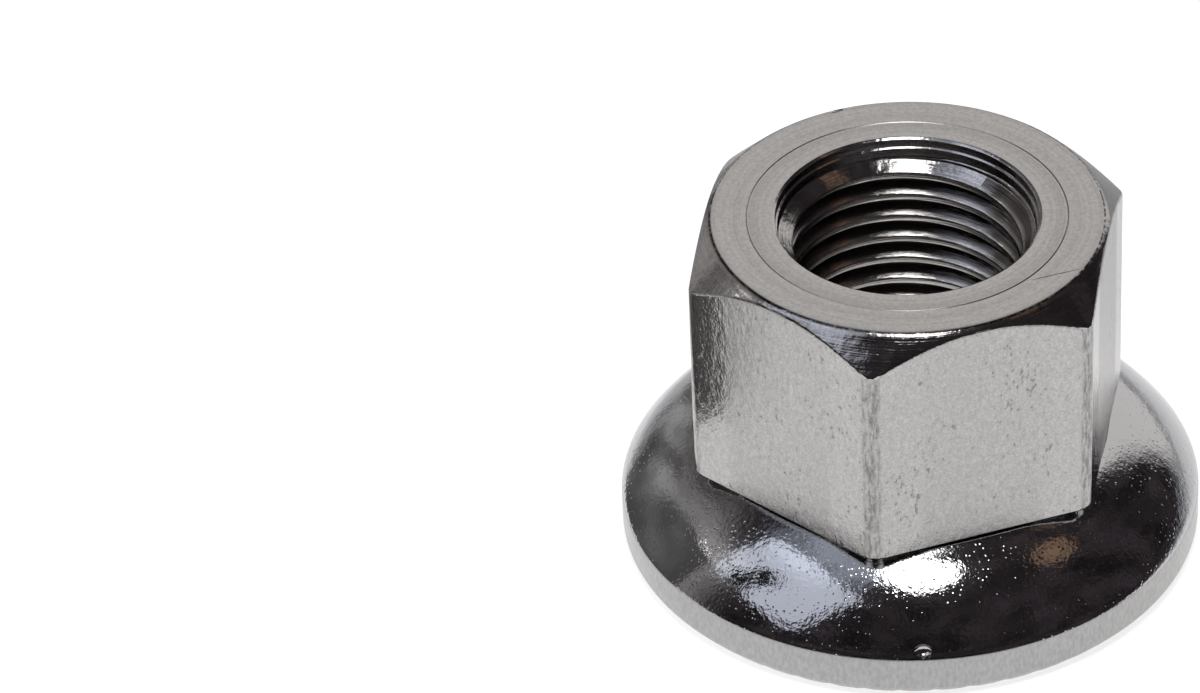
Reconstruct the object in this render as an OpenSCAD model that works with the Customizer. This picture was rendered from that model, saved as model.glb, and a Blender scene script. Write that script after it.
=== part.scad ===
// Hexagon nut with a serrated washer that turns on the nut's own spigot.
// Millimetres, +Z up along the thread. The origin is on the thread's axis, in the
// plane of the tooth crests, on which the nut stands.

/* [Thread] */
// Inside diameter of the threaded bore, at the crests of the thread
thread_minor_d = 8.47; // [7.5:0.01:9.3]
// Outside diameter of the thread, at its roots
thread_major_d = 9.52; // [8.5:0.01:9.55]
// Pitch of the thread, 26 turns to the inch
thread_pitch = 0.977; // [0.75:0.001:1.3]
// Diameter of the smooth mouth above the thread
mouth_d = 9.6; // [9.4:0.05:10.6]
// Depth of the smooth mouth
mouth_depth = 0.76; // [0.4:0.02:3]
// Height of the flat cone between the mouth and the thread
mouth_cone_h = 0.33; // [0.2:0.01:0.8]
// Width of the bevel on the edge of the mouth
mouth_bevel = 0.1; // [0.05:0.01:0.4]
// Diameter of the smooth clearance bore below the thread
relief_d = 10.1; // [9.4:0.1:11]
// Height of the clearance bore above the end of the spigot
relief_depth = 4.2; // [1:0.1:6]

/* [Hexagon] */
// Width across the flats
hex_af = 15; // [13:0.1:19]
// Diameter that the corners are turned to
corner_d = 17.1; // [16.2:0.1:17.3]
// Height of the hexagon
hex_h = 9.6; // [8:0.01:16]
// Diameter of the flat top face
top_flat_d = 14.64; // [13:0.1:14.9]
// Height of the turned chamfer at the corners
top_chamfer_h = 1.2; // [0.5:0.05:2.5]
// Size of the bevel under the hexagon's corners
under_bevel = 0.15; // [0.05:0.05:0.6]

/* [Spigot] */
// Diameter of the spigot where the washer turns
spigot_d = 12.4; // [12:0.1:13.2]
// How far the rolled lip stands out past the spigot, on each side
lip_out = 0.6; // [0.3:0.05:0.8]
// Thickness of the lip's edge
lip_edge = 0.15; // [0.05:0.01:0.4]
// Outer diameter of the stepped chamfer in the spigot's end
end_chamfer_d = 11.4; // [11:0.1:11.8]
// Depth of that chamfer
end_chamfer_h = 0.44; // [0.1:0.02:1]

/* [Washer] */
// Outer diameter of the washer
washer_d = 21.9; // [20.5:0.1:26]
// Height of the washer, from the tooth crests to the seat under the hexagon
washer_h = 4.4; // [3.8:0.02:6]
// Height at which the upright rim ends and the dome begins
rim_top_z = 1.84; // [1:0.05:2.4]
// Diameter of the flat seat on top of the dome
crown_d = 15.2; // [14:0.1:16.5]
// How far the dome bulges past a straight cone
dome_bulge = 0.3; // [0.1:0.02:0.5]
// Radius of the rounding between the rim and the dome
rim_round = 0.15; // [0.05:0.01:0.3]
// Width of the bevel below the rim
edge_bevel_w = 0.35; // [0.1:0.01:0.6]
// Height of the bevel below the rim
edge_bevel_h = 0.4; // [0.1:0.02:0.8]

/* [Underside] */
// Inner diameter of the ring of teeth
teeth_in_d = 17.66; // [16.8:0.02:18.4]
// Depth of the recess inside the ring of teeth
recess_depth = 1.4; // [0.8:0.05:2]
// Diameter of the recess at its root
recess_root_d = 16.9; // [16.3:0.1:17.5]
// Outer diameter of the raised land round the spigot
land_d = 15.7; // [14.8:0.1:16]
// Depth of the groove round that land
groove_depth = 0.25; // [0.1:0.05:0.6]

/* [Teeth] */
// Number of teeth
tooth_count = 52; // [30:1:60]
// Depth of the gaps between the teeth, at their inner ends
tooth_depth = 0.3; // [0.1:0.02:0.5]
// Width of the steep face of a tooth
tooth_steep_w = 0.44; // [0.2:0.02:0.5]
// Width of the gently sloping face of a tooth
tooth_slope_w = 0.56; // [0.3:0.02:0.6]
// Angle by which the gaps grow shallower towards the rim
tooth_tilt = 3; // [0:0.5:5]

/* [Clearances] */
// Running clearance between the spigot and the washer's hole, on each side
turn_clearance = 0.08; // [0.03:0.01:0.1]
// Gap between the hexagon and the washer's seat
seat_gap = 0.06; // [0.03:0.01:0.2]
// Gap between the lip's edge and the countersink it turns in
lip_gap = 0.12; // [0.08:0.01:0.3]

/* [Hidden] */
$fn = 96;

plated_steel = [0.70, 0.69, 0.67];
bright_chrome = [0.80, 0.81, 0.83];

// Cutters run this far past the faces they open
past = 1;
// Number of straight steps in the dome's arc
dome_steps = 20;

hex_z = washer_h + seat_gap;
top_z = hex_z + hex_h;
spigot_r = spigot_d / 2;
lip_r = spigot_r + lip_out;
lip_z = recess_depth;
lip_edge_z = lip_z + lip_edge;
hole_r = spigot_r + turn_clearance;
rim_r = washer_d / 2;

minor_r = thread_minor_d / 2;
mouth_r = mouth_d / 2;
relief_r = relief_d / 2;
mouth_z = top_z - mouth_depth;
relief_z = lip_z + relief_depth;
thread_top_z = mouth_z - mouth_cone_h;
thread_bottom_z = relief_z + (relief_r - minor_r);
// As many grooves as fit between the two cones, with a crest left at each end
groove_count = floor((thread_top_z - thread_bottom_z) / thread_pitch + 0.2);

// The nut: a hexagon turned at its corners, on a spigot with a rolled lip

module turned_envelope() {
  corner_r = corner_d / 2;
  rotate_extrude()
    polygon([
      [0, hex_z], [corner_r - under_bevel, hex_z], [corner_r, hex_z + under_bevel],
      [corner_r, top_z - top_chamfer_h], [top_flat_d / 2, top_z], [0, top_z],
    ]);
}

module hexagon() {
  intersection() {
    translate([0, 0, hex_z])
      rotate([0, 0, 30])
        cylinder(h = hex_h, d = hex_af / cos(30), $fn = 6);
    turned_envelope();
  }
}

module spigot() {
  rotate_extrude()
    polygon([
      [0, lip_z], [lip_r, lip_z], [lip_r, lip_edge_z],
      [spigot_r, lip_edge_z + lip_out], [spigot_r, hex_z + under_bevel], [0, hex_z + under_bevel],
    ]);
}

// One groove of the thread. Rings stand in for the turns, so the crests stay true bores
module thread_groove() {
  major_r = thread_major_d / 2;
  mouth_half = thread_pitch * 3 / 8;
  root_half = thread_pitch / 16;
  rotate_extrude()
    polygon([
      [0, -mouth_half], [minor_r, -mouth_half], [major_r, -root_half],
      [major_r, root_half], [minor_r, mouth_half], [0, mouth_half],
    ]);
}

module threaded_bore() {
  translate([0, 0, lip_z - past])
    cylinder(h = top_z - lip_z + 2 * past, r = minor_r);
  middle_z = (thread_top_z + thread_bottom_z) / 2;
  for (i = [0:groove_count - 1])
    translate([0, 0, middle_z + (i - (groove_count - 1) / 2) * thread_pitch])
      thread_groove();
  // Smooth mouth, with a cone down to the thread and a bevelled edge
  translate([0, 0, mouth_z])
    cylinder(h = mouth_depth + past, r = mouth_r);
  translate([0, 0, thread_top_z])
    cylinder(h = mouth_z - thread_top_z, r1 = minor_r, r2 = mouth_r);
  translate([0, 0, top_z - mouth_bevel])
    cylinder(h = 2 * mouth_bevel, r1 = mouth_r, r2 = mouth_r + 2 * mouth_bevel);
  // Clearance bore from below, with a cone up to the thread and a chamfered end
  translate([0, 0, lip_z - past])
    cylinder(h = relief_depth + past, r = relief_r);
  translate([0, 0, relief_z])
    cylinder(h = thread_bottom_z - relief_z, r1 = relief_r, r2 = minor_r);
  translate([0, 0, lip_z])
    cylinder(h = end_chamfer_h, r1 = end_chamfer_d / 2, r2 = relief_r);
}

module nut() {
  color(plated_steel)
    difference() {
      union() {
        hexagon();
        spigot();
      }
      threaded_bore();
    }
}

// The washer: a dome with a serrated underside, turning between the hexagon and the lip

// Points of an arc from a to b that bulges to the right of the line by sag
function arc_points(a, b, sag, steps) =
  let (
    run = b - a,
    half = norm(run) / 2,
    outward = [run[1], -run[0]] / (2 * half),
    radius = (half * half + sag * sag) / (2 * sag),
    centre = (a + b) / 2 + outward * (sag - radius),
    first = atan2(a[1] - centre[1], a[0] - centre[0]),
    last = atan2(b[1] - centre[1], b[0] - centre[0])
  )
  [for (i = [0:steps]) let (t = first + (last - first) * i / steps) centre + radius * [cos(t), sin(t)]];

module washer_blank() {
  dome = arc_points([rim_r - rim_round / 2, rim_top_z], [crown_d / 2, washer_h], dome_bulge, dome_steps);
  rotate_extrude()
    polygon(concat(
      [[hole_r, 0], [rim_r - edge_bevel_w, 0], [rim_r, edge_bevel_h], [rim_r, rim_top_z - rim_round]],
      dome,
      [[hole_r, washer_h]]
    ));
}

module recess() {
  teeth_in_r = teeth_in_d / 2;
  land_r = land_d / 2;
  // The wall leans inwards, so it is carried on to the cutter's lower end
  lean = (teeth_in_r - recess_root_d / 2) / recess_depth;
  // The countersink runs parallel to the lip
  sink_r = lip_r + lip_gap;
  sink_top_z = lip_edge_z + sink_r - hole_r;
  rotate_extrude()
    polygon([
      [0, -past], [teeth_in_r + lean * past, -past], [recess_root_d / 2, recess_depth],
      [recess_root_d / 2 - groove_depth, recess_depth + groove_depth],
      [land_r, recess_depth + groove_depth], [land_r, recess_depth],
      [sink_r + lip_edge, lip_z], [hole_r, sink_top_z], [0, sink_top_z],
    ]);
}

module tooth_gap() {
  teeth_in_r = teeth_in_d / 2;
  // Below the crests the sides go on at the same slopes
  grow = (tooth_depth + past) / tooth_depth;
  translate([teeth_in_r, 0, tooth_depth])
    rotate([0, 90 + tooth_tilt, 0])
      translate([0, 0, -past])
        linear_extrude(height = rim_r - teeth_in_r + 2 * past)
          polygon([[0, 0], [tooth_depth * grow, tooth_slope_w * grow], [tooth_depth * grow, -tooth_steep_w * grow]]);
}

module captive_washer() {
  color(bright_chrome)
    difference() {
      washer_blank();
      recess();
      for (i = [0:tooth_count - 1])
        rotate([0, 0, 360 * i / tooth_count])
          tooth_gap();
    }
}

nut();
captive_washer();
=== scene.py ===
import math

import bpy
from mathutils import Matrix, Vector


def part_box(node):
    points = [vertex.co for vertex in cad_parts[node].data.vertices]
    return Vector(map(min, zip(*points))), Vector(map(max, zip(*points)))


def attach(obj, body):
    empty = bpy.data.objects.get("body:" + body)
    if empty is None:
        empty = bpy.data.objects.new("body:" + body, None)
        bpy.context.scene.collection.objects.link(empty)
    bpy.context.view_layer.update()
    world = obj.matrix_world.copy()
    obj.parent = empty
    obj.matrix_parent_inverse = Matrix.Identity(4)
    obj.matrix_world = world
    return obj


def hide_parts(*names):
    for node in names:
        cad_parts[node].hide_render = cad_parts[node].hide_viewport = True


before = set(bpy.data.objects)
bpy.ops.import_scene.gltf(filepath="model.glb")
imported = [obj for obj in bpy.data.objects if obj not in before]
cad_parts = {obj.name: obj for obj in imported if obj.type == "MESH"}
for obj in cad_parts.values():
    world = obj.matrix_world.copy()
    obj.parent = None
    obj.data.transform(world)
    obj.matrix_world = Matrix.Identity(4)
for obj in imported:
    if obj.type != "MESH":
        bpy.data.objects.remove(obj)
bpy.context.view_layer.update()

# A hexagon nut whose domed, serrated washer turns on its spigot.
# The frame is in metres, and the sizes below are in millimetres.
mm = 0.001

nutLow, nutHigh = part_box("nut")
washerLow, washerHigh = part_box("captive_washer")
outerFaceZ = nutHigh.z / mm     # outer face of the hexagon
lipZ = nutLow.z / mm            # end of the spigot
seatZ = washerHigh.z / mm       # top of the washer
rimR = washerHigh.x / mm        # outside of the washer
flatX = nutHigh.x / mm          # half the width across the flats
cornerR = nutHigh.y / mm        # radius the corners are turned to


# Camera

cameraSpec = {
    "distance": 260.0,      # from the origin, mm
    "azimuth": 9.334,       # degrees to the right of the front corner
    "elevation": 38.41,
    "pan": -2.596,          # then turned off the nut, as the photograph frames it
    "tilt": -1.425,
    "roll": 0.511,
    "lens": 203.99,
    "sensor": 36.0,
    "clipNear": 10.0,
    "clipFar": 20000.0,
}


def direction(azimuth, elevation):
    # azimuth 0 looks from the front corner, and grows to the right
    a = math.radians(azimuth)
    e = math.radians(elevation)
    return Vector((math.sin(a) * math.cos(e), -math.cos(a) * math.cos(e), math.sin(e)))


def makeCamera(spec):
    bpy.ops.object.camera_add()
    camera = bpy.context.object
    camera.name = "camera"
    back = direction(spec["azimuth"], spec["elevation"])
    aimed = back.to_track_quat("Z", "Y").to_matrix()
    turned = (
        Matrix.Rotation(math.radians(-spec["pan"]), 3, "Y")
        @ Matrix.Rotation(math.radians(-spec["tilt"]), 3, "X")
        @ Matrix.Rotation(math.radians(-spec["roll"]), 3, "Z")
    )
    camera.location = back * spec["distance"] * mm
    camera.rotation_mode = "QUATERNION"
    camera.rotation_quaternion = (aimed @ turned).to_quaternion()
    camera.data.sensor_width = spec["sensor"]
    camera.data.lens = spec["lens"]
    camera.data.clip_start = spec["clipNear"] * mm
    camera.data.clip_end = spec["clipFar"] * mm
    bpy.context.scene.camera = camera


makeCamera(cameraSpec)
print("camera placed")


# Modelling helpers

sameVertex = 1e-7       # vertices closer than this are merged, in metres
onPlane = 1e-8          # and this close to a cutting plane they lie on it
sameSpot = 1e-3         # places closer than this are the same, in mm
sharpAngle = 35         # edges sharper than this stay sharp, in degrees
arcSegments = 4         # segments in the rounding of an outline's corner


def editMode():
    bpy.ops.object.mode_set(mode="EDIT")


def objectMode():
    bpy.ops.object.mode_set(mode="OBJECT")


def selectOnly(obj):
    bpy.ops.object.select_all(action="DESELECT")
    obj.select_set(True)
    bpy.context.view_layer.objects.active = obj


def pick(obj, test, kind="VERT"):
    # selects what passes the test, and stays in edit mode
    # a vertex is tested by its place in mm, and an edge by the places of both ends
    editMode()
    bpy.ops.mesh.select_mode(type=kind)
    bpy.ops.mesh.select_all(action="DESELECT")
    objectMode()
    if kind == "EDGE":
        for edge in obj.data.edges:
            a, b = (obj.data.vertices[i].co / mm for i in edge.vertices)
            edge.select = test(a, b)
    else:
        for vertex in obj.data.vertices:
            vertex.select = test(vertex.co / mm)
    editMode()


def applyModifier(obj, kind, **settings):
    modifier = obj.modifiers.new(kind.lower(), kind)
    for name, value in settings.items():
        setattr(modifier, name, value)
    selectOnly(obj)
    bpy.ops.object.modifier_apply(modifier=modifier.name)


def drawOutline(name, outline):
    # pulls one vertex round the outline; a point is (radius, height) or (radius, height, rounding) in mm
    bpy.ops.object.select_all(action="DESELECT")
    bpy.ops.mesh.primitive_plane_add(size=mm)
    obj = bpy.context.object
    obj.name = name
    editMode()
    bpy.ops.mesh.select_mode(type="VERT")
    bpy.ops.mesh.select_all(action="SELECT")
    bpy.ops.mesh.merge(type="CENTER")
    bpy.ops.transform.translate(value=(outline[0][0] * mm, 0, outline[0][1] * mm))
    for here, there in zip(outline, outline[1:] + outline[:1]):
        step = ((there[0] - here[0]) * mm, 0, (there[1] - here[1]) * mm)
        bpy.ops.mesh.extrude_region_move(TRANSFORM_OT_translate={"value": step})
    bpy.ops.mesh.select_all(action="SELECT")
    bpy.ops.mesh.remove_doubles(threshold=sameVertex)
    for point in outline:
        if len(point) == 3:
            pick(obj, lambda co: math.hypot(co.x - point[0], co.z - point[1]) < sameSpot)
            bpy.ops.mesh.bevel(offset=point[2] * mm, segments=arcSegments, affect="VERTICES")
    objectMode()
    return obj


def turnOutline(obj, steps):
    # turns the outline into a closed ring, as on a lathe
    editMode()
    bpy.ops.mesh.select_all(action="SELECT")
    bpy.ops.mesh.spin(steps=steps, angle=math.tau, center=(0, 0, 0), axis=(0, 0, 1))
    bpy.ops.mesh.select_all(action="SELECT")
    bpy.ops.mesh.remove_doubles(threshold=sameVertex)
    bpy.ops.mesh.normals_make_consistent(inside=False)
    objectMode()


def cutAway(obj, cutter, solver="EXACT"):
    applyModifier(obj, "BOOLEAN", object=cutter, operation="DIFFERENCE", solver=solver)
    bpy.data.objects.remove(cutter)


def smoothOver(obj):
    selectOnly(obj)
    bpy.ops.object.shade_smooth_by_angle(angle=math.radians(sharpAngle))
    applyModifier(obj, "WEIGHTED_NORMAL", weight=50, keep_sharp=True)


def makeNicks(obj, nicks):
    # knocks and scratches: a place, the half sizes of the ball that made it, and its turn in degrees
    for place, size, turn in nicks:
        bpy.ops.object.select_all(action="DESELECT")
        bpy.ops.mesh.primitive_ico_sphere_add(subdivisions=3, radius=mm, location=(0, 0, 0))
        ball = bpy.context.object
        ball.name = "nick"
        bpy.ops.transform.resize(value=size)
        bpy.ops.object.transform_apply(location=False, rotation=False, scale=True)
        ball.rotation_euler = (0, 0, math.radians(turn))
        ball.location = Vector(place) * mm
        bpy.ops.object.transform_apply(location=True, rotation=True, scale=False)
        # the exact solver leaves pinholes here, and this one doesn't
        cutAway(obj, ball, "MANIFOLD")


# Nut: turned on a lathe, milled to a hexagon, then tapped

nutSpec = {
    "steps": 120,           # columns round the lathe, none close to an edge of a flat
    "topFlatR": 7.32,
    "topFlatRound": 0.22,
    "chamferH": 1.2,        # height of the turned chamfer at the corners
    "seatGap": 0.06,        # between the hexagon and the washer's seat
    "underBevel": 0.11,
    "spigotR": 6.2,
    "lipR": 6.8,
    "lipEdge": 0.15,
    "lipRound": 0.05,
    "endStepR": 5.7,        # outer radius of the stepped chamfer in the spigot's end
    "endStepH": 0.44,
    "endSteps": 3,
    "endStepLean": (0.65, 0.15),    # how far a step's floor goes across and down, as shares
    "reliefR": 5.05,
    "reliefH": 4.2,
    "mouthR": 4.8,
    "mouthDepth": 0.76,
    "mouthConeH": 0.33,
    "mouthEdgeW": 0.2,      # the worn edge of the mouth
    "mouthEdgeH": 0.073,
    "mouthEdgeRound": 0.02,
    "mouthStepW": 0.08,     # and the small step in its wall
    "mouthStepTop": 0.36,
    "mouthStepLow": 0.409,
    "mouthStepRound": 0.015,
    "mouthRound": 0.05,
    "boreR": 4.235,
    "boreRound": 0.03,
    "ringR": 5.95,          # faint turned line on the outer face
    "ringOutW": 0.04,
    "ringInW": 0.03,
    "ringDepth": 0.025,
    "ringRound": 0.01,
    "supportW": 0.15,       # rings this far from an edge keep the outer face's shading flat
    "flats": 6,
    "flatRound": 0.09,
    "nicks": [
        ((-3.75, 6.3, outerFaceZ + 0.12), (0.42, 0.28, 0.24), 31),
        ((5.95, -2.9, outerFaceZ + 0.012), (1.1, 0.03, 0.03), 29),
        ((6.9, -3.0, outerFaceZ + 0.1), (0.16, 0.16, 0.16), 0),
    ],
}


def nutOutline(s):
    mouthZ = outerFaceZ - s["mouthDepth"]
    mouthEdgeR = s["mouthR"] + s["mouthEdgeW"]
    mouthStepR = s["mouthR"] + s["mouthStepW"]
    reliefZ = lipZ + s["reliefH"]
    lipTopZ = lipZ + s["lipEdge"]
    hexLowZ = seatZ + s["seatGap"]
    outline = [
        (s["lipR"], lipZ, s["lipRound"]),
        (s["lipR"], lipTopZ, s["lipRound"]),
        (s["spigotR"], lipTopZ + s["lipR"] - s["spigotR"]),
        (s["spigotR"], hexLowZ),
        (cornerR - s["underBevel"], hexLowZ),
        (cornerR, hexLowZ + s["underBevel"]),
        (cornerR, outerFaceZ - s["chamferH"]),
        (s["topFlatR"], outerFaceZ, s["topFlatRound"]),
        (s["topFlatR"] - s["supportW"], outerFaceZ),
        (s["ringR"] + s["supportW"], outerFaceZ),
        (s["ringR"] + s["ringOutW"], outerFaceZ, s["ringRound"]),
        (s["ringR"], outerFaceZ - s["ringDepth"]),
        (s["ringR"] - s["ringInW"], outerFaceZ, s["ringRound"]),
        (s["ringR"] - s["supportW"], outerFaceZ),
        (mouthEdgeR + s["supportW"], outerFaceZ),
        (mouthEdgeR, outerFaceZ, s["mouthEdgeRound"]),
        (mouthStepR, outerFaceZ - s["mouthEdgeH"], s["mouthEdgeRound"]),
        (mouthStepR, outerFaceZ - s["mouthStepTop"], s["mouthStepRound"]),
        (s["mouthR"], outerFaceZ - s["mouthStepLow"], s["mouthStepRound"]),
        (s["mouthR"], mouthZ, s["mouthRound"]),
        (s["boreR"], mouthZ - s["mouthConeH"], s["boreRound"]),
        (s["boreR"], reliefZ + s["reliefR"] - s["boreR"]),
        (s["reliefR"], reliefZ),
        (s["reliefR"], lipZ + s["endStepH"]),
    ]
    # The chamfer in the spigot's end is turned in small steps
    stepW = (s["endStepR"] - s["reliefR"]) / s["endSteps"]
    stepH = s["endStepH"] / s["endSteps"]
    across, down = s["endStepLean"]
    for i in range(s["endSteps"]):
        high = lipZ + s["endStepH"] - i * stepH
        outline.append((s["reliefR"] + (i + across) * stepW, high - down * stepH))
        outline.append((s["reliefR"] + (i + 1) * stepW, high - stepH))
    return outline


def millFlats(obj, s):
    turns = [math.tau * i / s["flats"] for i in range(s["flats"])]
    normals = [Vector((math.cos(turn), math.sin(turn), 0)) for turn in turns]
    for normal in normals:
        editMode()
        bpy.ops.mesh.select_all(action="SELECT")
        bpy.ops.mesh.bisect(
            plane_co=normal * flatX * mm, plane_no=normal, use_fill=True, clear_outer=True, threshold=onPlane
        )
        objectMode()

    def onFlat(place):
        return {i for i, normal in enumerate(normals) if abs(place.dot(normal) - flatX) < sameSpot}

    pick(obj, lambda a, b: bool(onFlat(a) & onFlat(b)), "EDGE")
    bpy.ops.mesh.bevel(offset=s["flatRound"] * mm, segments=3, clamp_overlap=False)
    objectMode()


threadSpec = {
    "pitch": 0.977,         # 26 turns to the inch
    "majorR": 4.7625,
    "crestRound": 0.05,
    "rootRound": 0.03,
    "stepsPerTurn": 144,
    "crestZ": 5.685,        # height of a crest above +X, as the photograph has its turns
    "offBore": 0.004,       # the tap stays this far inside the metal at the crests
    "lowZ": 5.3,            # it runs out in the wider bores
    "highZ": 13.35,
}


def makeTap(s, boreR):
    # one turn of the thread's outline, screwed up the axis and capped at both ends
    crestHalf = s["pitch"] / 8
    rootW = s["pitch"] / 8
    flankW = s["pitch"] * 5 / 16
    minorR = boreR + s["offBore"]
    low = s["crestZ"] - 2 * s["pitch"]
    rootZ = low + crestHalf + flankW
    turns = math.ceil((s["highZ"] - low) / s["pitch"]) + 1
    outline = [
        (minorR, low),
        (minorR, low + crestHalf, s["crestRound"]),
        (s["majorR"], rootZ, s["rootRound"]),
        (s["majorR"], rootZ + rootW, s["rootRound"]),
        (minorR, low + s["pitch"] - crestHalf, s["crestRound"]),
        (minorR, low + s["pitch"]),
    ]
    tap = drawOutline("tap", outline)
    # The outline has to be open, so the long straight line back to its start goes
    pick(tap, lambda a, b: abs(b.z - a.z) > 2 * flankW - sameSpot, "EDGE")
    bpy.ops.mesh.delete(type="EDGE")
    objectMode()
    applyModifier(
        tap, "SCREW", axis="Z", angle=math.tau, screw_offset=s["pitch"] * mm,
        iterations=turns, steps=s["stepsPerTurn"], render_steps=s["stepsPerTurn"],
        use_merge_vertices=True, merge_threshold=sameVertex,
    )
    editMode()
    bpy.ops.mesh.select_all(action="SELECT")
    bpy.ops.mesh.remove_doubles(threshold=sameVertex)
    for z, up in ((s["lowZ"], -1), (s["highZ"], 1)):
        bpy.ops.mesh.select_all(action="SELECT")
        bpy.ops.mesh.bisect(
            plane_co=(0, 0, z * mm), plane_no=(0, 0, up), use_fill=True, clear_outer=True, threshold=onPlane
        )
    bpy.ops.mesh.select_all(action="SELECT")
    bpy.ops.mesh.normals_make_consistent(inside=False)
    objectMode()
    return tap


def makeNut(s):
    nut = drawOutline("hexagonNut", nutOutline(s))
    turnOutline(nut, s["steps"])
    millFlats(nut, s)
    cutAway(nut, makeTap(threadSpec, s["boreR"]))
    makeNicks(nut, s["nicks"])
    smoothOver(nut)
    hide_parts("nut")
    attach(nut, "nut")
    return nut


nut = makeNut(nutSpec)
print("nut modelled:", len(nut.data.polygons), "faces")


# Washer: a turned dome with a recess and saw teeth below

washerSpec = {
    "steps": 208,
    "holeR": 6.28,
    "holeRound": 0.05,
    "sinkR": 7.07,
    "landR": 7.85,
    "landRound": 0.05,
    "recessDepth": 1.4,
    "recessRootR": 8.45,
    "recessRound": 0.1,
    "grooveDepth": 0.25,
    "grooveRound": 0.08,
    "teethInR": 8.83,
    "bevelW": 0.35,
    "bevelH": 0.4,
    "bevelRounds": (0.03, 0.08),    # at the teeth and at the rim
    "rimTopZ": 1.84,
    "rimRound": 0.15,
    "rimTopRound": 0.06,
    "crownR": 7.6,
    "crownRound": 0.1,
    "domeBulge": 0.3,
    "domeSteps": 24,
    "teeth": 52,
    "toothDepth": 0.3,
    "steepW": 0.44,
    "slopeW": 0.56,
    "toothTilt": 3.0,       # degrees by which the gaps grow shallower towards the rim
    "nicks": [
        ((2.2, -10.64, 2.08), (0.4, 0.33, 0.3), 12),
    ],
}


def arcPoints(start, end, bulge, steps):
    # an arc in the outline that stands out to the right of the line from start to end
    a, b = Vector(start), Vector(end)
    run = b - a
    outward = Vector((run.y, -run.x)).normalized()
    half = run.length / 2
    radius = (half * half + bulge * bulge) / (2 * bulge)
    centre = (a + b) / 2 + outward * (bulge - radius)
    first = math.atan2(a.y - centre.y, a.x - centre.x)
    last = math.atan2(b.y - centre.y, b.x - centre.x)
    points = []
    for i in range(steps + 1):
        t = first + (last - first) * i / steps
        points.append((centre.x + radius * math.cos(t), centre.y + radius * math.sin(t)))
    return points


def washerOutline(s):
    domeFoot = (rimR - s["rimRound"] / 2, s["rimTopZ"])
    dome = arcPoints(domeFoot, (s["crownR"], seatZ), s["domeBulge"], s["domeSteps"])
    sinkTopZ = s["recessDepth"] + s["sinkR"] - s["holeR"]
    grooveZ = s["recessDepth"] + s["grooveDepth"]
    return [
        (s["holeR"], sinkTopZ),
        (s["sinkR"], s["recessDepth"]),
        (s["landR"], s["recessDepth"], s["landRound"]),
        (s["landR"], grooveZ, s["grooveRound"]),
        (s["recessRootR"] - s["grooveDepth"], grooveZ, s["grooveRound"]),
        (s["recessRootR"], s["recessDepth"], s["recessRound"]),
        (s["teethInR"], 0),
        (rimR - s["bevelW"], 0, s["bevelRounds"][0]),
        (rimR, s["bevelH"], s["bevelRounds"][1]),
        (rimR, s["rimTopZ"] - s["rimRound"], s["rimTopRound"]),
        *dome[:-1],
        (*dome[-1], s["crownRound"]),
        (s["holeR"], seatZ, s["holeRound"]),
    ]


def makeToothCutter(s):
    # a wedge under the washer: its ridge is the root of the gap between two teeth
    past = 0.11             # how far the wedge starts inside the ring of teeth
    runOut = 0.5            # how far it ends outside the rim
    grow = 1.05             # and how far it hangs below the crests, as a share
    low = -s["toothDepth"] * grow
    cutter = drawOutline("toothCutter", [(0, 0), (-s["slopeW"] * grow, low), (s["steepW"] * grow, low)])
    editMode()
    bpy.ops.mesh.select_all(action="SELECT")
    bpy.ops.mesh.edge_face_add()
    length = (rimR - s["teethInR"] + past + runOut) * mm
    bpy.ops.mesh.extrude_region_move(TRANSFORM_OT_translate={"value": (0, length, 0)})
    bpy.ops.mesh.select_all(action="SELECT")
    bpy.ops.mesh.normals_make_consistent(inside=False)
    objectMode()
    tilt = math.radians(s["toothTilt"])
    cutter.rotation_mode = "ZYX"
    cutter.rotation_euler = (0, tilt, -math.pi / 2)
    cutter.location = ((s["teethInR"] - past) * mm, 0, (s["toothDepth"] + past * math.tan(tilt)) * mm)
    bpy.ops.object.transform_apply(location=True, rotation=True, scale=True)
    editMode()
    bpy.ops.mesh.select_all(action="SELECT")
    bpy.ops.mesh.spin(
        steps=s["teeth"] - 1, angle=math.tau * (s["teeth"] - 1) / s["teeth"], dupli=True,
        center=(0, 0, 0), axis=(0, 0, 1),
    )
    objectMode()
    return cutter


def makeWasher(s):
    washer = drawOutline("domedWasher", washerOutline(s))
    turnOutline(washer, s["steps"])
    cutAway(washer, makeToothCutter(s))
    makeNicks(washer, s["nicks"])
    smoothOver(washer)
    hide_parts("captive_washer")
    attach(washer, "washer")
    return washer


washer = makeWasher(washerSpec)
print("washer modelled:", len(washer.data.polygons), "faces")


# Materials

smoothly = {"interpolation_type": "SMOOTHSTEP"}
multiply = {"operation": "MULTIPLY"}
mixColours = {"data_type": "RGBA"}      # its share is input 0, its colours are inputs 6 and 7 and output 2


def linearColour(code):
    channels = [int(code[i:i + 2], 16) / 255 for i in (1, 3, 5)]
    return [c / 12.92 if c <= 0.04045 else ((c + 0.055) / 1.055) ** 2.4 for c in channels] + [1.0]


def addNode(tree, kind, settings, inputs, output=0):
    # an input is a value or another node's output; what comes back is one of the node's outputs
    node = tree.nodes.new("ShaderNode" + kind)
    for name, value in settings.items():
        setattr(node, name, value)
    for key, value in inputs.items():
        if isinstance(value, bpy.types.NodeSocket):
            tree.links.new(value, node.inputs[key])
        else:
            node.inputs[key].default_value = value
    return node.outputs[output]


def newMaterial(name, colour, roughness, metallic=1.0):
    material = bpy.data.materials.new(name)
    material.use_nodes = True
    tree = material.node_tree
    shader = tree.nodes["Principled BSDF"]
    shader.inputs["Base Color"].default_value = linearColour(colour)
    shader.inputs["Metallic"].default_value = metallic
    shader.inputs["Roughness"].default_value = roughness
    return material, tree, shader


def placeInMm(tree):
    place = addNode(tree, "TexCoord", {}, {}, "Object")
    return addNode(tree, "VectorMath", {"operation": "SCALE"}, {0: place, "Scale": 1 / mm})


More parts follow.
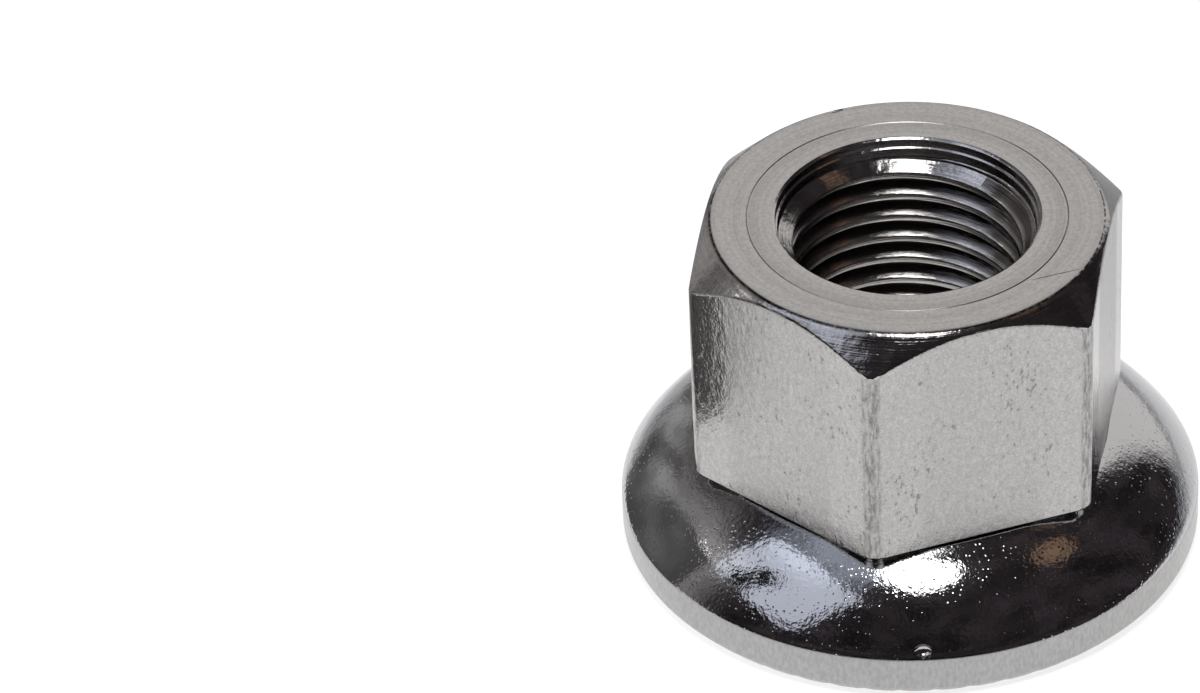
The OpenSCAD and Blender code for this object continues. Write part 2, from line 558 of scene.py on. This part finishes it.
def onTheLathe(tree, place):
    # distance from the axis, and height
    flat = addNode(tree, "VectorMath", multiply, {0: place, 1: (1, 1, 0)})
    radius = addNode(tree, "VectorMath", {"operation": "LENGTH"}, {0: flat}, "Value")
    height = addNode(tree, "SeparateXYZ", {}, {0: place}, "Z")
    return radius, height


def addRelief(tree, shader, layers):
    # a layer is a height and its depth in mm, and each lies on the one before
    normal = None
    for height, depth in layers:
        inputs = {"Height": height, "Distance": depth * mm, "Strength": 1.0}
        if normal:
            inputs["Normal"] = normal
        normal = addNode(tree, "Bump", {}, inputs)
    tree.links.new(normal, shader.inputs["Normal"])


# The sizes of the patterns are in mm. The real grain is finer, and is drawn as coarse as it needs to show.

hexagonSpec = {
    "colour": "#b3b1af",
    # colour of the darker corners, and of the painted shade along the chamfer
    "speckColour": "#918f8d",
    "darkAndShadeColour": "#7f7d7b",
    "roughness": 0.27,
    "burnished": 0.11,              # roughness next to the corners
    "burnishedR": (7.78, 8.0),      # and where it sets in
    "grain": 1 / 12,
    "grainDepth": 0.004,
    "grainShade": (0.84, 1.1),      # what the colour is multiplied by, from the lows to the highs
    "cloudShade": (1.06, 0.92),
    "ripple": 1 / 3.6,
    "rippleDepth": 0.012,
    "wave": 1 / 0.7,
    "waveDepth": 0.012,
    "speck": 1 / 5.5,
    "speckSquash": (1, 1, 0.6),     # makes the specks longer than wide
    "speckDepth": 0.004,
    "cluster": 1 / 0.4,
    "clusterLimits": (0.72, 0.575),     # how strong the noise has to be, outside a cluster and in it
    "streak": 1 / 8,
    "streakSquash": (1, 1, 0.22),
    "cornerBand": (0.1, 0.03),      # the dark band at a corner fades in between these depths
    "chamferShadeLine": (0.1, 0.04),     # and so does the painted shade line along the chamfer
}

# the outer face
facedSpec = {
    "colour": "#b8b6b5",
    "lineColour": "#a3a19f",
    "roughness": 0.3,
    "line": 1 / 9,
    "lineDepth": 0.002,
    "grain": 1 / 9,
    "grainShade": (0.85, 1.09),
}

# the chamfers, the mouth, the spigot and its lip
turnedSpec = {
    "colour": "#b8b6b5",
    "lineColour": "#a8a6a4",
    "roughness": 0.13,
    "line": 1 / 5,
    "lineDepth": 0.013,
    "grain": 1 / 9,
    "grainShade": (0.85, 1.09),
    "swell": 1 / 1.6,
    "swellDepth": 0.03,
    "edgeShadeR": 7.3,
    "edgeShadeBand": (0.06, 0.02),       # the painted shade along the edge fades in between these distances
    "edgeShadeGap": 1 / 5,
    "darkAndShadeColour": "#4a4846",
}

# the thread and the clearance bore
boredSpec = {
    "colour": "#d0cdca",
    "lineColour": "#a8a4a1",
    # painted shade in the thread's roots
    "rootShadeColour": "#6f6b69",
    "roughness": 0.15,
    "rootShadeDepth": (0.04, 0.2),       # the painted shade of the roots fades in between these depths
    "line": 1 / 7,
    "lineDepth": 0.016,
    "grain": 1 / 9,
    "grainShade": (0.85, 1.09),
}

domeSpec = {
    "colour": "#bcbcbd",
    "roughness": 0.075,
    "peel": 1 / 1.7,
    "peelDepth": 0.012,
    "fine": 1 / 6,
    "fineDepth": 0.007,
    "pit": 1 / 7,           # one pit in each such cell
    "pitR": 0.42,           # as a share of a cell
    "pitDepth": 0.009,      # of the deepest
    "pitPower": 2.5,        # the larger, the fewer deep ones
}

rimSpec = {
    "colour": "#acabaa",
    "roughness": 0.3,
    "grain": 1 / 8,
    "grainSquash": (1, 1, 0.45),
    "grainDepth": 0.004,
    "grainShade": (0.85, 1.1),
}


def milledPlate(s):
    # Nickel-chrome plate over cold-drawn, milled steel. The plate is thin and satin, so the eye sees
    # broad soft greys, the bar's fine pits as specks in clusters, and a burnished shine by the corners.
    material, tree, shader = newMaterial("milledPlate", s["colour"], s["roughness"])
    place = placeInMm(tree)
    radius, height = onTheLathe(tree, place)
    grain = addNode(tree, "TexNoise", {}, {"Vector": place, "Scale": 1 / s["grain"], "Detail": 3})
    wave = addNode(tree, "TexNoise", {}, {"Vector": place, "Scale": 1 / s["wave"], "Detail": 1})
    squashed = addNode(tree, "VectorMath", multiply, {0: place, 1: s["speckSquash"]})
    ripple = addNode(tree, "TexNoise", {}, {"Vector": squashed, "Scale": 1 / s["ripple"], "Detail": 2})

    # Specks show where the rough noise is above a limit, which is lower in the clusters
    rough = addNode(
        tree, "TexNoise", {}, {"Vector": squashed, "Scale": 1 / s["speck"], "Detail": 5, "Roughness": 0.6}
    )
    cluster = addNode(tree, "TexNoise", {}, {"Vector": place, "Scale": 1 / s["cluster"], "Detail": 2})
    outside, inside = s["clusterLimits"]
    limits = {"From Min": 0.35, "From Max": 0.65, "To Min": outside, "To Max": inside}
    limit = addNode(tree, "MapRange", {}, {"Value": cluster, **limits})
    above = addNode(tree, "Math", {"operation": "SUBTRACT"}, {0: rough, 1: limit})
    speck = addNode(tree, "MapRange", {}, {"Value": above, "From Min": 0.0, "From Max": 0.05})

    # The corners are coloured darker, in upright streaks
    start, full = s["cornerBand"]
    band = addNode(
        tree, "MapRange", {}, {"Value": radius, "From Min": cornerR - start, "From Max": cornerR - full}
    )
    # and painted shade, a thin dark line, runs along the chamfer's cone, whose radius grows downwards
    slope = (cornerR - nutSpec["topFlatR"]) / nutSpec["chamferH"]
    fromTop = addNode(tree, "Math", {"operation": "SUBTRACT"}, {0: outerFaceZ, 1: height})
    grown = addNode(tree, "Math", multiply, {0: fromTop, 1: slope})
    coneR = addNode(tree, "Math", {"operation": "ADD"}, {0: grown, 1: nutSpec["topFlatR"]})
    toCone = addNode(tree, "Math", {"operation": "SUBTRACT"}, {0: coneR, 1: radius})
    start, full = s["chamferShadeLine"]
    line = addNode(tree, "MapRange", {}, {"Value": toCone, "From Min": start, "From Max": full})
    upright = addNode(tree, "VectorMath", multiply, {0: place, 1: s["streakSquash"]})
    streaks = addNode(
        tree, "TexNoise", {}, {"Vector": upright, "Scale": 1 / s["streak"], "Detail": 4, "Roughness": 0.65}
    )
    limits = {"From Min": 0.42, "From Max": 0.6, "To Min": 0.1, "To Max": 0.95}
    streaks = addNode(tree, "MapRange", {}, {"Value": streaks, **limits})
    # the darker corners and the painted shade along the chamfer, together
    dark = addNode(tree, "Math", {"operation": "MAXIMUM"}, {0: band, 1: line})
    dark = addNode(tree, "Math", multiply, {0: dark, 1: streaks})

    low, high = s["grainShade"]
    shades = {"From Min": 0.3, "From Max": 0.7, "To Min": low, "To Max": high}
    shade = addNode(tree, "MapRange", {}, {"Value": grain, **shades})
    low, high = s["cloudShade"]
    shades = {"From Min": 0.35, "From Max": 0.62, "To Min": low, "To Max": high}
    clouds = addNode(tree, "MapRange", {}, {"Value": rough, **shades})
    shade = addNode(tree, "Math", multiply, {0: shade, 1: clouds})
    colours = {0: dark, 6: linearColour(s["colour"]), 7: linearColour(s["darkAndShadeColour"])}
    colour = addNode(tree, "Mix", mixColours, colours, 2)
    colour = addNode(tree, "Mix", mixColours, {0: speck, 6: colour, 7: linearColour(s["speckColour"])}, 2)
    colour = addNode(tree, "VectorMath", {"operation": "SCALE"}, {0: colour, "Scale": shade})
    tree.links.new(colour, shader.inputs["Base Color"])

    start, full = s["burnishedR"]
    limits = {"From Min": start, "From Max": full, "To Min": s["roughness"], "To Max": s["burnished"]}
    roughness = addNode(tree, "MapRange", smoothly, {"Value": radius, **limits})
    tree.links.new(roughness, shader.inputs["Roughness"])
    hollow = addNode(tree, "Math", multiply, {0: speck, 1: -1.0})
    addRelief(tree, shader, [
        (wave, s["waveDepth"]),
        (ripple, s["rippleDepth"]),
        (grain, s["grainDepth"]),
        (hollow, s["speckDepth"]),
    ])
    return material


def turnedPlate(name, s):
    # The same plate over turned steel. The tool left fine rings, so light draws out into short arcs.
    material, tree, shader = newMaterial(name, s["colour"], s["roughness"])
    place = placeInMm(tree)
    radius, height = onTheLathe(tree, place)
    # this noise depends only on the radius and the height, so it runs round the axis
    where = addNode(tree, "CombineXYZ", {}, {"X": radius, "Y": height})
    lines = addNode(
        tree, "TexNoise", {"noise_dimensions": "2D"},
        {"Vector": where, "Scale": 1 / s["line"], "Detail": 4, "Roughness": 0.7},
    )
    share = addNode(tree, "MapRange", {}, {"Value": lines, "From Min": 0.4, "From Max": 0.7})
    colours = {0: share, 6: linearColour(s["colour"]), 7: linearColour(s["lineColour"])}
    colour = addNode(tree, "Mix", mixColours, colours, 2)
    grain = addNode(tree, "TexNoise", {}, {"Vector": place, "Scale": 1 / s["grain"], "Detail": 3})
    low, high = s["grainShade"]
    shades = {"From Min": 0.3, "From Max": 0.7, "To Min": low, "To Max": high}
    shade = addNode(tree, "MapRange", {}, {"Value": grain, **shades})
    colour = addNode(tree, "VectorMath", {"operation": "SCALE"}, {0: colour, "Scale": shade})
    if "rootShadeColour" in s:
        # painted shade: the thread is coloured darker towards its roots, where shade falls, and its crests
        # keep the lighter colour
        start, full = (nutSpec["boreR"] + depth for depth in s["rootShadeDepth"])
        share = addNode(tree, "MapRange", {}, {"Value": radius, "From Min": start, "From Max": full})
        colour = addNode(tree, "Mix", mixColours, {0: share, 6: colour, 7: linearColour(s["rootShadeColour"])}, 2)
    if "edgeShadeR" in s:
        # painted shade: a dark line along the edge of the outer face, here and there
        off = addNode(tree, "Math", {"operation": "SUBTRACT"}, {0: radius, 1: s["edgeShadeR"]})
        off = addNode(tree, "Math", {"operation": "ABSOLUTE"}, {0: off})
        start, full = s["edgeShadeBand"]
        band = addNode(tree, "MapRange", {}, {"Value": off, "From Min": start, "From Max": full})
        gaps = addNode(tree, "TexNoise", {}, {"Vector": place, "Scale": 1 / s["edgeShadeGap"], "Detail": 3})
        gaps = addNode(tree, "MapRange", {}, {"Value": gaps, "From Min": 0.35, "From Max": 0.5})
        band = addNode(tree, "Math", multiply, {0: band, 1: gaps})
        colour = addNode(tree, "Mix", mixColours, {0: band, 6: colour, 7: linearColour(s["darkAndShadeColour"])}, 2)
    tree.links.new(colour, shader.inputs["Base Color"])
    relief = [(lines, s["lineDepth"])]
    if "swellDepth" in s:
        swell = addNode(tree, "TexNoise", {}, {"Vector": place, "Scale": 1 / s["swell"], "Detail": 3})
        relief.insert(0, (swell, s["swellDepth"]))
    addRelief(tree, shader, relief)
    return material


def mirrorChrome(s):
    # Bright chrome over polished steel. It mirrors the room, a little broken up by orange peel,
    # and its pinpoint pits catch the lamp as sparks round the highlight.
    material, tree, shader = newMaterial("mirrorChrome", s["colour"], s["roughness"])
    place = placeInMm(tree)
    peel = addNode(
        tree, "TexNoise", {}, {"Vector": place, "Scale": 1 / s["peel"], "Detail": 2, "Roughness": 0.6}
    )
    fine = addNode(tree, "TexNoise", {}, {"Vector": place, "Scale": 1 / s["fine"], "Detail": 3})
    fromPit = addNode(tree, "TexVoronoi", {}, {"Vector": place, "Scale": 1 / s["pit"]}, "Distance")
    chance = addNode(tree, "TexVoronoi", {}, {"Vector": place, "Scale": 1 / s["pit"]}, "Color")
    chance = addNode(tree, "SeparateXYZ", {}, {0: chance}, "X")
    depth = addNode(tree, "Math", {"operation": "POWER"}, {0: chance, 1: s["pitPower"]})
    pit = addNode(tree, "MapRange", smoothly, {"Value": fromPit, "From Min": s["pitR"], "From Max": 0.0})
    pit = addNode(tree, "Math", multiply, {0: pit, 1: depth})
    pit = addNode(tree, "Math", multiply, {0: pit, 1: -1.0})
    addRelief(tree, shader, [(peel, s["peelDepth"]), (fine, s["fineDepth"]), (pit, s["pitDepth"])])
    return material


def rimChrome(s):
    # Chrome over the ground rim and the pressed teeth. It was never polished, so it looks an even, soft grey.
    material, tree, shader = newMaterial("rimChrome", s["colour"], s["roughness"])
    place = placeInMm(tree)
    squashed = addNode(tree, "VectorMath", multiply, {0: place, 1: s["grainSquash"]})
    grain = addNode(tree, "TexNoise", {}, {"Vector": squashed, "Scale": 1 / s["grain"], "Detail": 3})
    low, high = s["grainShade"]
    shades = {"From Min": 0.3, "From Max": 0.7, "To Min": low, "To Max": high}
    shade = addNode(tree, "MapRange", {}, {"Value": grain, **shades})
    plain = linearColour(s["colour"])[:3]
    colour = addNode(tree, "VectorMath", {"operation": "SCALE"}, {0: plain, "Scale": shade})
    tree.links.new(colour, shader.inputs["Base Color"])
    addRelief(tree, shader, [(grain, s["grainDepth"])])
    return material


def dressFaces(obj, materials, choose):
    # the cuts leave an empty slot behind, so the slots are cleared first
    obj.data.materials.clear()
    for material in materials:
        obj.data.materials.append(material)
    for face in obj.data.polygons:
        face.material_index = choose(face.center / mm, face.normal)


outsideR = 7.4          # the flats and the dome lie outside this radius
faceDepth = 0.1         # how far below a top face its finish reaches
near = 0.01             # a face this close to a wall belongs to it


def nutFinish(centre, normal):
    # 0 milled flats and corners, 1 outer face, 2 other turned faces, 3 thread and clearance bore
    radius = math.hypot(centre.x, centre.y)
    threadTopZ = outerFaceZ - nutSpec["mouthDepth"] - nutSpec["mouthConeH"]
    if radius < nutSpec["reliefR"] + near and centre.z < threadTopZ:
        return 3
    inRing = nutSpec["reliefR"] < radius < nutSpec["topFlatR"] - nutSpec["topFlatRound"] - faceDepth
    if centre.z > outerFaceZ - faceDepth and (inRing or normal.z > 0.97):
        return 1
    if radius > outsideR and abs(normal.z) < 0.3:
        return 0
    return 2


def washerFinish(centre, normal):
    # 0 dome and seat, 1 rim and underside
    radius = math.hypot(centre.x, centre.y)
    domeLowZ = washerSpec["rimTopZ"] - washerSpec["rimTopRound"] + near
    onDome = radius > outsideR and centre.z > domeLowZ and normal.z > 0.05
    return 0 if onDome or centre.z > seatZ - faceDepth else 1


nutMaterials = [
    milledPlate(hexagonSpec),
    turnedPlate("facedPlate", facedSpec),
    turnedPlate("turnedPlate", turnedSpec),
    turnedPlate("boredPlate", boredSpec),
]
dressFaces(nut, nutMaterials, nutFinish)
dressFaces(washer, [mirrorChrome(domeSpec), rimChrome(rimSpec)], washerFinish)
print("materials made")


# Studio
# Azimuths are counted from the camera, to the right. Radiance 1 shows as white in a mirror.

aimZ = 8.0              # height that the lights and cards face

lightSpecs = [
    {"name": "overhead", "azimuth": 11, "elevation": 79, "distance": 400, "size": (130,), "radiance": 8.0},
    {
        "name": "window", "azimuth": -69, "elevation": 50, "distance": 500, "size": (340, 290),
        "radiance": 0.95, "colour": "#e9efff",
    },
    {"name": "lamp", "azimuth": -100, "elevation": 30, "distance": 500, "size": (30,), "radiance": 6.0},
]


def studioSide(azimuth, elevation=0):
    return direction(cameraSpec["azimuth"] + azimuth, elevation)


def faceNut(obj, s):
    away = studioSide(s["azimuth"], s["elevation"])
    obj.location = away * s["distance"] * mm + Vector((0, 0, aimZ * mm))
    obj.rotation_mode = "QUATERNION"
    obj.rotation_quaternion = away.to_track_quat("Z", "Y")


def makeLight(s):
    bpy.ops.object.light_add(type="AREA")
    light = bpy.context.object
    light.name = s["name"]
    size = [side * mm for side in s["size"]]
    light.data.size = size[0]
    if len(size) == 1:
        light.data.shape = "DISK"
        area = math.pi * size[0] * size[0] / 4
    else:
        light.data.shape = "RECTANGLE"
        light.data.size_y = size[1]
        area = size[0] * size[1]
    light.data.energy = s["radiance"] * math.pi * area
    light.data.color = linearColour(s.get("colour", "#ffffff"))[:3]
    faceNut(light, s)


cardSpecs = [
    {"azimuth": -76, "elevation": 47, "distance": 400, "radius": 34},
    {"azimuth": -80, "elevation": 38, "distance": 410, "radius": 36},
]


def makeCard(s, material):
    # a small dark disc in front of the window
    bpy.ops.object.select_all(action="DESELECT")
    bpy.ops.mesh.primitive_circle_add(radius=s["radius"] * mm, fill_type="NGON")
    card = bpy.context.object
    card.name = "card"
    faceNut(card, s)
    card.data.materials.append(material)


flagSpec = {
    "off": 17.0,            # to the left of the axis
    "back": 19.5,           # and behind it
    "length": 51.0,
    "height": 9.0,
    "dark": "#565454",
    "pale": "#b4b2b2",
    "cloudSquash": (0.2, 1, 1),
    "cloudScale": 7.0,      # clouds along it
    "paintedShadeEnd": (-0.48, -0.3),       # its front end is painted darker between these shares of its length
}


def makeFlag(s):
    # a grey flag close by on the left, which shows only in the reflections
    bpy.ops.object.select_all(action="DESELECT")
    across = studioSide(-90)
    place = across * s["off"] + studioSide(180) * s["back"] + Vector((0, 0, s["height"] / 2))
    bpy.ops.mesh.primitive_plane_add(size=1, location=place * mm)
    flag = bpy.context.object
    flag.name = "flag"
    flag.scale = (s["height"] * mm, s["length"] * mm, 1)
    flag.rotation_mode = "QUATERNION"
    flag.rotation_quaternion = across.to_track_quat("Z", "X")
    flag.visible_camera = False
    flag.visible_diffuse = False
    flag.visible_shadow = False
    # a card that glows with painted light, as a matt card lit unevenly would look: upright clouds of grey
    # that darken towards one end
    material, tree, shader = newMaterial("glowingGreyCard", "#000000", 1.0, 0.0)
    where = addNode(tree, "TexCoord", {}, {}, "Object")
    upright = addNode(tree, "VectorMath", multiply, {0: where, 1: s["cloudSquash"]})
    cloud = addNode(tree, "TexNoise", {}, {"Vector": upright, "Scale": s["cloudScale"], "Detail": 2})
    share = addNode(tree, "MapRange", smoothly, {"Value": cloud, "From Min": 0.32, "From Max": 0.68})
    along = addNode(tree, "SeparateXYZ", {}, {0: where}, "Y")
    start, full = s["paintedShadeEnd"]
    bright = addNode(tree, "MapRange", {}, {"Value": along, "From Min": start, "From Max": full})
    share = addNode(tree, "Math", multiply, {0: share, 1: bright})
    colour = addNode(
        tree, "Mix", mixColours, {0: share, 6: linearColour(s["dark"]), 7: linearColour(s["pale"])}, 2
    )
    tree.links.new(colour, shader.inputs["Emission Color"])
    shader.inputs["Emission Strength"].default_value = 1.0
    flag.data.materials.append(material)


floorSpec = {
    "colour": "#f2f2f2",
    "size": 12000,
    "lift": 0.72,           # what the floor adds for the camera and for reflections, to come out white
    "shades": [             # painted shade that only reflections see: side, distances from the axis, share left
        {"azimuth": 180, "from": 0, "to": 16, "left": 0.6},
        {"azimuth": 180, "from": 16, "to": 50, "left": 0.3},
        {"azimuth": -150, "from": 13, "to": 18, "left": 0.35},
    ],
}


def makeFloor(s):
    bpy.ops.object.select_all(action="DESELECT")
    bpy.ops.mesh.primitive_plane_add(size=s["size"] * mm)
    floor = bpy.context.object
    floor.name = "floor"
    # matt white paper: it takes the shadow, and comes out white
    material, tree, shader = newMaterial("whitePaper", s["colour"], 0.9, 0.0)
    shader.inputs["Specular IOR Level"].default_value = 0.0
    seen = addNode(tree, "LightPath", {}, {}, "Is Camera Ray")
    mirrored = addNode(tree, "LightPath", {}, {}, "Is Glossy Ray")
    through = addNode(tree, "LightPath", {}, {}, "Is Transmission Ray")
    place = placeInMm(tree)
    for shade in s["shades"]:
        inputs = {0: place, 1: studioSide(shade["azimuth"])}
        away = addNode(tree, "VectorMath", {"operation": "DOT_PRODUCT"}, inputs, "Value")
        limits = {"From Min": shade["from"], "From Max": shade["to"], "To Min": 1, "To Max": shade["left"]}
        share = addNode(tree, "MapRange", smoothly, {"Value": away, **limits})
        mirrored = addNode(tree, "Math", multiply, {0: mirrored, 1: share})
    either = addNode(tree, "Math", {"operation": "MAXIMUM"}, {0: seen, 1: mirrored})
    either = addNode(tree, "Math", {"operation": "MAXIMUM"}, {0: either, 1: through})
    lift = addNode(tree, "Math", multiply, {0: either, 1: s["lift"]})
    shader.inputs["Emission Color"].default_value = linearColour("#ffffff")
    tree.links.new(lift, shader.inputs["Emission Strength"])
    floor.data.materials.append(material)


roomSpec = {
    "dark": "#181617",
    "pale": "#524b4f",
    "cloudScale": 7.0,
    "streakScale": 3.2,
    "streakSquash": (1, 1, 0.45),
    # soft patches on the walls, each over the one before: "edge" is the cosine of the angle to its middle
    # where it fades in and where it is full, and "height" is the same for the sine of the elevation.
    # A patch without an elevation stands upright from the floor.
    "patches": [
        {"colour": "#957a66", "azimuth": 94, "elevation": 55, "edge": (0.9915, 0.9985)},
        {
            "colour": "#4e4b4c", "streaked": "#b4b1b0",
            "azimuth": -118, "edge": (0.7, 0.9), "height": (0.82, 0.6),
        },
        {"colour": "#b4bac8", "azimuth": -92, "elevation": 74, "edge": (0.93, 0.99), "cloudy": (0.2, 0.6)},
        {"colour": "#a8a9ae", "azimuth": 118, "edge": (0.7, 0.9), "height": (0.1, 0.01)},
        {"colour": "#efedeb", "azimuth": 171, "edge": (0.8, 0.88), "height": (0.9, 0.75)},
    ],
}


def makeWorld(s):
    # a dark room with clouded walls, as the chrome mirrors it
    world = bpy.context.scene.world or bpy.data.worlds.new("studio")
    bpy.context.scene.world = world
    world.use_nodes = True
    tree = world.node_tree
    background = tree.nodes["Background"]
    towards = addNode(tree, "TexCoord", {}, {}, "Generated")
    up = addNode(tree, "SeparateXYZ", {}, {0: towards}, "Z")
    level = addNode(tree, "VectorMath", multiply, {0: towards, 1: (1, 1, 0)})
    level = addNode(tree, "VectorMath", {"operation": "NORMALIZE"}, {0: level})
    inputs = {"Vector": towards, "Scale": s["cloudScale"], "Detail": 5, "Roughness": 0.7}
    cloud = addNode(tree, "TexNoise", {}, inputs)
    upright = addNode(tree, "VectorMath", multiply, {0: towards, 1: s["streakSquash"]})
    streaks = addNode(tree, "TexNoise", {}, {"Vector": upright, "Scale": s["streakScale"], "Detail": 2})
    streaks = addNode(tree, "MapRange", smoothly, {"Value": streaks, "From Min": 0.3, "From Max": 0.7})

    clouded = addNode(tree, "MapRange", smoothly, {"Value": cloud, "From Min": 0.36, "From Max": 0.76})
    colours = {6: linearColour(s["dark"]), 7: linearColour(s["pale"])}
    walls = addNode(tree, "Mix", mixColours, {0: clouded, **colours}, 2)
    for patch in s["patches"]:
        middle = studioSide(patch["azimuth"], patch.get("elevation", 0))
        inputs = {0: towards if "elevation" in patch else level, 1: middle}
        facing = addNode(tree, "VectorMath", {"operation": "DOT_PRODUCT"}, inputs, "Value")
        limits = [(facing, patch["edge"])]
        if "height" in patch:
            limits.append((up, patch["height"]))
        if "cloudy" in patch:
            limits.append((cloud, patch["cloudy"]))
        share = 1.0
        for value, (start, full) in limits:
            part = addNode(tree, "MapRange", smoothly, {"Value": value, "From Min": start, "From Max": full})
            share = addNode(tree, "Math", multiply, {0: share, 1: part})
        colour = linearColour(patch["colour"])
        if "streaked" in patch:
            colour = addNode(
                tree, "Mix", mixColours, {0: streaks, 6: colour, 7: linearColour(patch["streaked"])}, 2
            )
        walls = addNode(tree, "Mix", mixColours, {0: share, 6: walls, 7: colour}, 2)
    tree.links.new(walls, background.inputs["Color"])
    background.inputs["Strength"].default_value = 1.0


for spec in lightSpecs:
    makeLight(spec)
# matt black card: it only takes the light away
blackCard = newMaterial("blackCard", "#101012", 0.9, 0.0)[0]
for spec in cardSpecs:
    makeCard(spec, blackCard)
makeFloor(floorSpec)
makeFlag(flagSpec)
makeWorld(roomSpec)
bpy.context.scene.view_settings.view_transform = "Standard"
print("studio lit")
